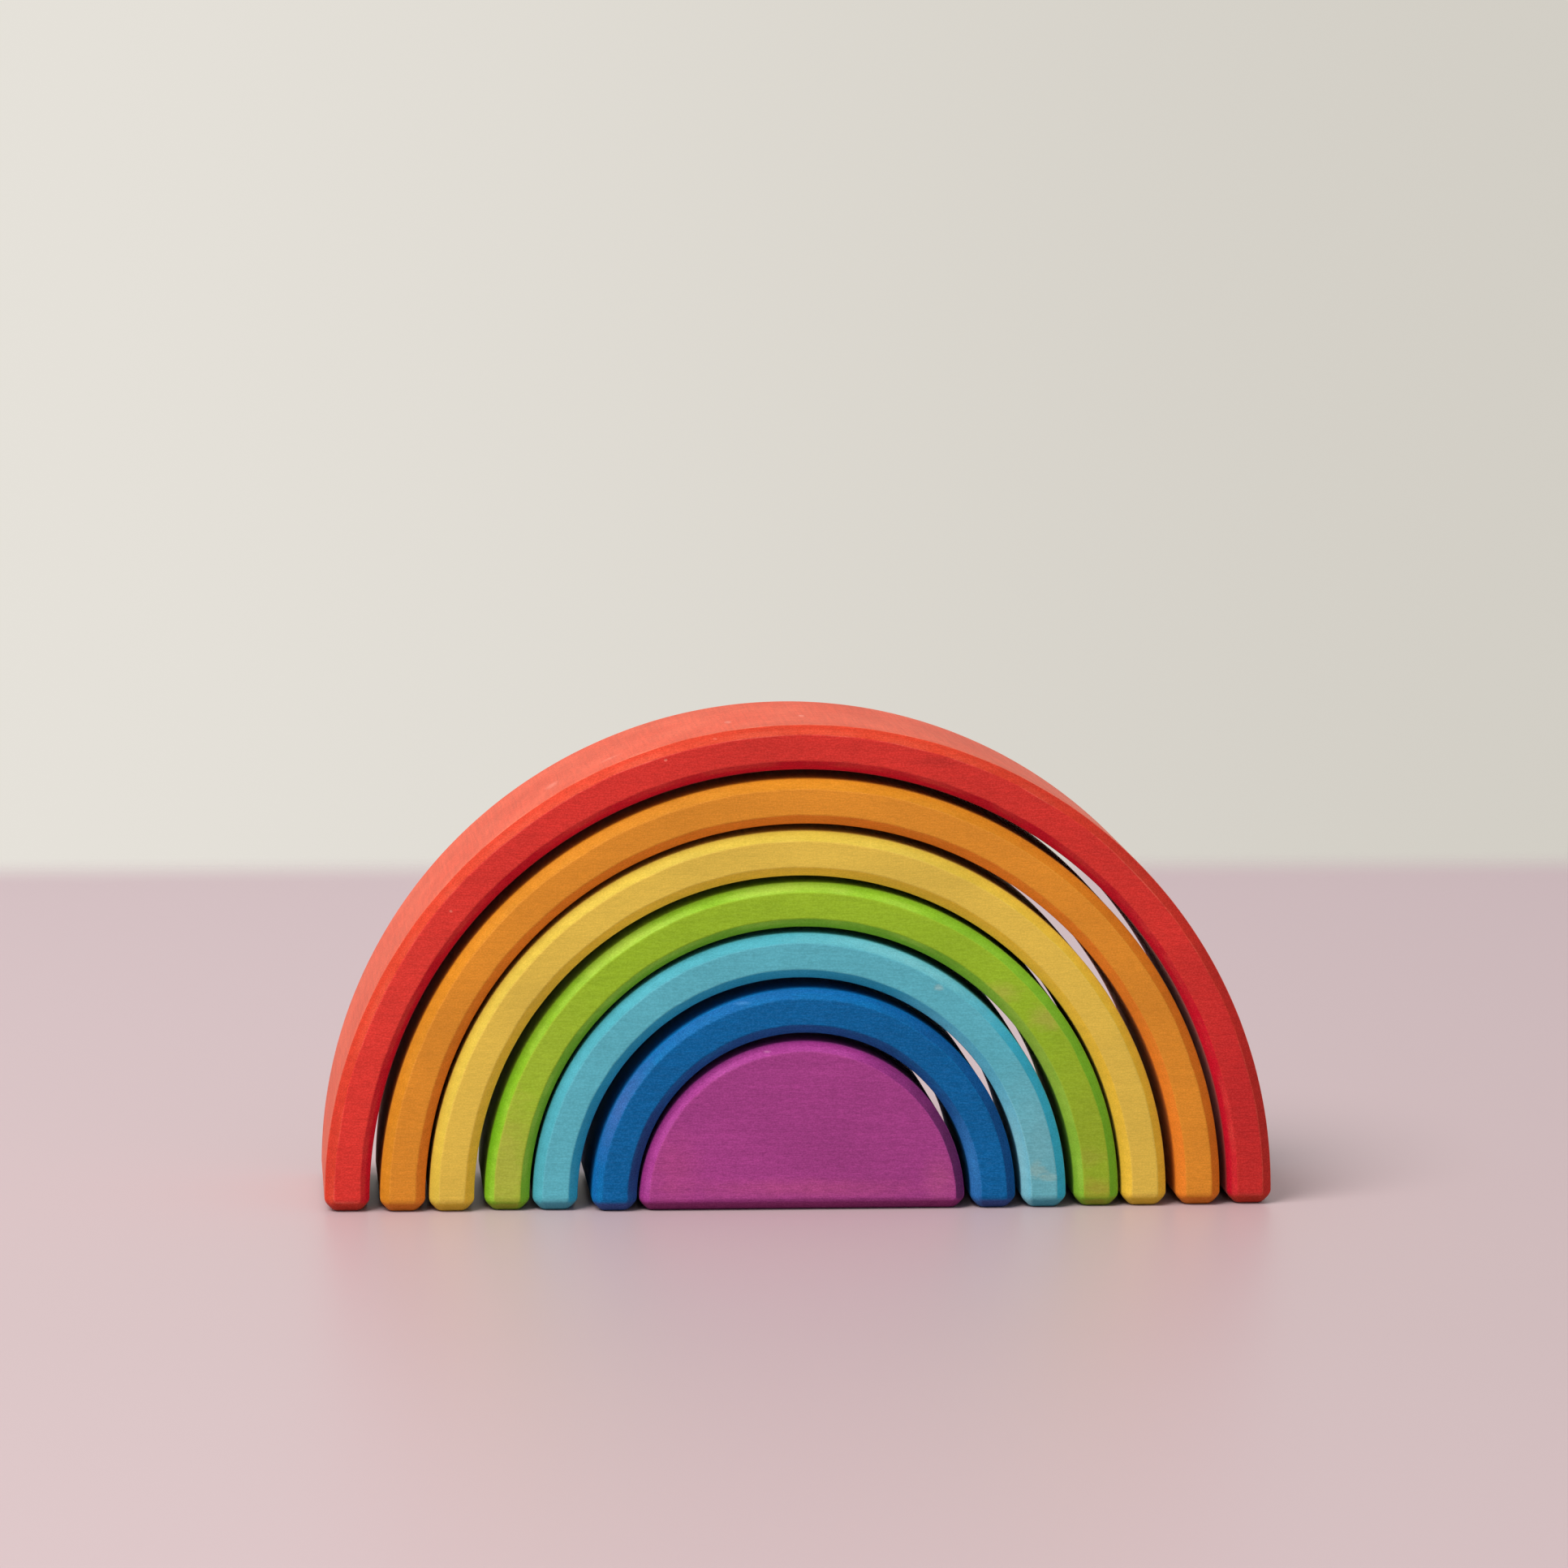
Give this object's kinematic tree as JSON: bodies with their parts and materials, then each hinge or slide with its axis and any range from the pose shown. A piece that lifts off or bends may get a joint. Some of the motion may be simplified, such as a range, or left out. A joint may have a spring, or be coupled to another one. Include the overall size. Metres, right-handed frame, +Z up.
{
  "type": "rainbow stacker",
  "caption": "Nest of stained wooden arches over a solid half-round block: a toy whose loose, bevelled pieces slide apart into a tunnel, lift off, stack and balance.",
  "frame": {"origin": "middle of the nest's footprint, on the table under its feet", "axes": "+X to the right along the width, +Y to the back along the tunnel, +Z up"},
  "size_m": [0.18, 0.046, 0.0921],
  "materials": {
    "red_wood": "red water stain, sanded, oiled to a low sheen",
    "orange_wood": "orange water stain, sanded, oiled to a low sheen",
    "yellow_wood": "yellow water stain, sanded, oiled to a low sheen",
    "green_wood": "green water stain, sanded, oiled to a low sheen",
    "sky_blue_wood": "sky blue water stain, sanded, oiled to a low sheen",
    "dark_blue_wood": "dark blue water stain, sanded, oiled to a low sheen",
    "violet_wood": "violet water stain, sanded, oiled to a low sheen"
  },
  "bodies": {
    "violet_half_round": {"violet_half_round": "violet_wood"},
    "dark_blue_arch": {"dark_blue_arch": "dark_blue_wood"},
    "sky_blue_arch": {"sky_blue_arch": "sky_blue_wood"},
    "green_arch": {"green_arch": "green_wood"},
    "yellow_arch": {"yellow_arch": "yellow_wood"},
    "orange_arch": {"orange_arch": "orange_wood"},
    "red_arch": {"red_arch": "red_wood"}
  },
  "joints": [
    {"name": "dark_blue_slide", "type": "slide", "parent": "violet_half_round", "child": "dark_blue_arch", "axis": [0, -1, 0], "range_m": [-0.05, 0.05]},
    {"name": "sky_blue_slide", "type": "slide", "parent": "dark_blue_arch", "child": "sky_blue_arch", "axis": [0, -1, 0], "range_m": [-0.05, 0.05]},
    {"name": "green_slide", "type": "slide", "parent": "sky_blue_arch", "child": "green_arch", "axis": [0, -1, 0], "range_m": [-0.05, 0.05]},
    {"name": "yellow_slide", "type": "slide", "parent": "green_arch", "child": "yellow_arch", "axis": [0, -1, 0], "range_m": [-0.05, 0.05]},
    {"name": "orange_slide", "type": "slide", "parent": "yellow_arch", "child": "orange_arch", "axis": [0, -1, 0], "range_m": [-0.05, 0.05]},
    {"name": "red_slide", "type": "slide", "parent": "orange_arch", "child": "red_arch", "axis": [0, -1, 0], "range_m": [-0.05, 0.05]}
  ]
}
